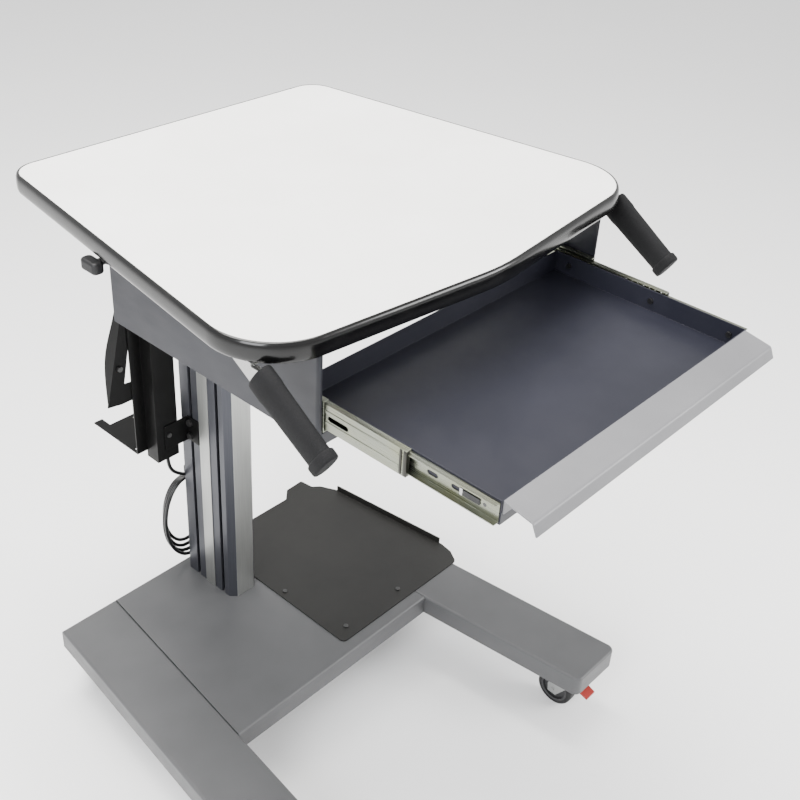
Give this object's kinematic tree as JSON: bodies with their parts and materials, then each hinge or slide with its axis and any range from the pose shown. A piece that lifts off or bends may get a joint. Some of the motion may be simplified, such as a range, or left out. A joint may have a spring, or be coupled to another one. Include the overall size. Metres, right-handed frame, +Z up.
{
  "type": "computer desk with keyboard tray",
  "caption": "Standing computer desk on casters with a kinked worktop, a pull-out keyboard tray, angled side handles, an aluminium column, a computer holder and a coiled power cord.",
  "frame": {"origin": "on the floor, under the middle of the desk's bounding box", "axes": "+Z up, +Y towards the back, -Y towards the user, where the tray pulls out, +X to the user's right"},
  "size_m": [0.7908, 1.073, 1.064],
  "materials": {
    "base_paint": "satin powder coat",
    "shelf_paint": "textured powder coat",
    "column_metal": "satin extruded",
    "laminate": "fine textured laminate on board",
    "moulding": "glossy",
    "housing_paint": "satin powder coat",
    "bracket_steel": "satin powder coat",
    "slide_zinc": "zinc plated",
    "ball_steel": "polished",
    "tray_paint": "satin powder coat",
    "lip_paint": "satin powder coat",
    "bright_steel": "bright",
    "grip_rubber": "fine textured",
    "holder_paint": "satin black",
    "screw_steel": "plain",
    "cord_rubber": "smooth sheath",
    "plug_plastic": "moulded",
    "hook_steel": "satin black",
    "lever_plastic": "moulded",
    "lever_steel": "zinc plated",
    "caster_steel": "zinc plated",
    "wheel_plastic": "moulded",
    "tyre_rubber": "moulded tread",
    "pedal_plastic": "moulded"
  },
  "bodies": {
    "frame": {"base_leg_left": "base_paint", "base_leg_right": "base_paint", "base_deck": "base_paint", "side_shelf": "shelf_paint", "column": "column_metal", "worktop_board": "laminate", "edge_moulding": "moulding", "housing_side_left": "housing_paint", "housing_side_right": "housing_paint", "housing_back": "housing_paint", "housing_front_rail": "housing_paint", "top_bracket_left": "bracket_steel", "top_bracket_right": "bracket_steel", "lever_bracket": "bracket_steel", "slide_outer_left": "slide_zinc", "slide_outer_right": "slide_zinc", "handle_bar_left": "bright_steel", "handle_bar_right": "bright_steel", "handle_grip_left": "grip_rubber", "handle_grip_right": "grip_rubber", "holder_channel": "holder_paint", "holder_shelf": "holder_paint", "holder_brackets": "holder_paint", "frame_bolts": "screw_steel", "frame_screws": "screw_steel", "power_cord": "cord_rubber", "cable_hank": "cord_rubber", "cord_tail": "cord_rubber", "cable_grommet": "cord_rubber", "power_plug": "plug_plastic", "cable_hook": "hook_steel", "caster_plates": "caster_steel"},
    "tray": {"tray_pan": "tray_paint", "tray_lip": "lip_paint", "slide_inner_left": "slide_zinc", "slide_inner_right": "slide_zinc", "tray_screws": "screw_steel"},
    "slide_middle": {"slide_mid_left": "slide_zinc", "slide_mid_right": "slide_zinc", "ball_cages": "ball_steel"},
    "clamp": {"clamp_wing": "holder_paint", "clamp_screw": "screw_steel"},
    "lever": {"release_lever": "lever_steel", "lever_paddle": "lever_plastic"},
    "fork_front_left": {"caster_fork_front_left": "caster_steel"},
    "wheel_front_left": {"wheel_core_front_left": "wheel_plastic", "wheel_tyre_front_left": "tyre_rubber"},
    "pedal_front_left": {"brake_pedal_front_left": "pedal_plastic"},
    "fork_front_right": {"caster_fork_front_right": "caster_steel"},
    "wheel_front_right": {"wheel_core_front_right": "wheel_plastic", "wheel_tyre_front_right": "tyre_rubber"},
    "pedal_front_right": {"brake_pedal_front_right": "pedal_plastic"},
    "fork_rear_left": {"caster_fork_rear_left": "caster_steel"},
    "wheel_rear_left": {"wheel_core_rear_left": "wheel_plastic", "wheel_tyre_rear_left": "tyre_rubber"},
    "fork_rear_right": {"caster_fork_rear_right": "caster_steel"},
    "wheel_rear_right": {"wheel_core_rear_right": "wheel_plastic", "wheel_tyre_rear_right": "tyre_rubber"}
  },
  "joints": [
    {"name": "tray_slide", "type": "slide", "parent": "frame", "child": "tray", "axis": [0, -1, 0], "range_m": [-0.26, 0.09]},
    {"name": "slide_middle_follow", "type": "slide", "parent": "frame", "child": "slide_middle", "axis": [0, -1, 0], "range_m": [-0.13, 0.045]},
    {"name": "holder_clamp", "type": "slide", "parent": "frame", "child": "clamp", "axis": [0, 0, 1], "range_m": [-0.02, 0.1]},
    {"name": "release_lever", "type": "hinge", "parent": "frame", "child": "lever", "pos_m": [-0.308, 0.1565, 1.018], "axis": [0, 0, 1], "range_deg": [0, 40], "stiffness_Nm_per_rad": 0.3},
    {"name": "swivel_front_left", "type": "hinge", "parent": "frame", "child": "fork_front_left", "pos_m": [-0.33189, -0.2925, 0.09], "axis": [0, 0, 1], "continuous": true},
    {"name": "roll_front_left", "type": "hinge", "parent": "fork_front_left", "child": "wheel_front_left", "pos_m": [-0.33189, -0.2645, 0.0375], "axis": [1, 0, 0], "continuous": true},
    {"name": "brake_front_left", "type": "hinge", "parent": "fork_front_left", "child": "pedal_front_left", "pos_m": [-0.33189, -0.3055, 0.072], "axis": [1, 0, 0], "range_deg": [0, 15]},
    {"name": "swivel_front_right", "type": "hinge", "parent": "frame", "child": "fork_front_right", "pos_m": [0.33189, -0.2925, 0.09], "axis": [0, 0, 1], "continuous": true},
    {"name": "roll_front_right", "type": "hinge", "parent": "fork_front_right", "child": "wheel_front_right", "pos_m": [0.33189, -0.2645, 0.0375], "axis": [1, 0, 0], "continuous": true},
    {"name": "brake_front_right", "type": "hinge", "parent": "fork_front_right", "child": "pedal_front_right", "pos_m": [0.33189, -0.3055, 0.072], "axis": [1, 0, 0], "range_deg": [0, 15]},
    {"name": "swivel_rear_left", "type": "hinge", "parent": "frame", "child": "fork_rear_left", "pos_m": [-0.25808, 0.3725, 0.09], "axis": [0, 0, 1], "continuous": true},
    {"name": "roll_rear_left", "type": "hinge", "parent": "fork_rear_left", "child": "wheel_rear_left", "pos_m": [-0.25808, 0.4005, 0.0375], "axis": [1, 0, 0], "continuous": true},
    {"name": "swivel_rear_right", "type": "hinge", "parent": "frame", "child": "fork_rear_right", "pos_m": [0.25808, 0.3725, 0.09], "axis": [0, 0, 1], "continuous": true},
    {"name": "roll_rear_right", "type": "hinge", "parent": "fork_rear_right", "child": "wheel_rear_right", "pos_m": [0.25808, 0.4005, 0.0375], "axis": [1, 0, 0], "continuous": true}
  ],
  "couplings": [
    {"joint": "slide_middle_follow", "follows": "tray_slide", "ratio": 0.5}
  ]
}
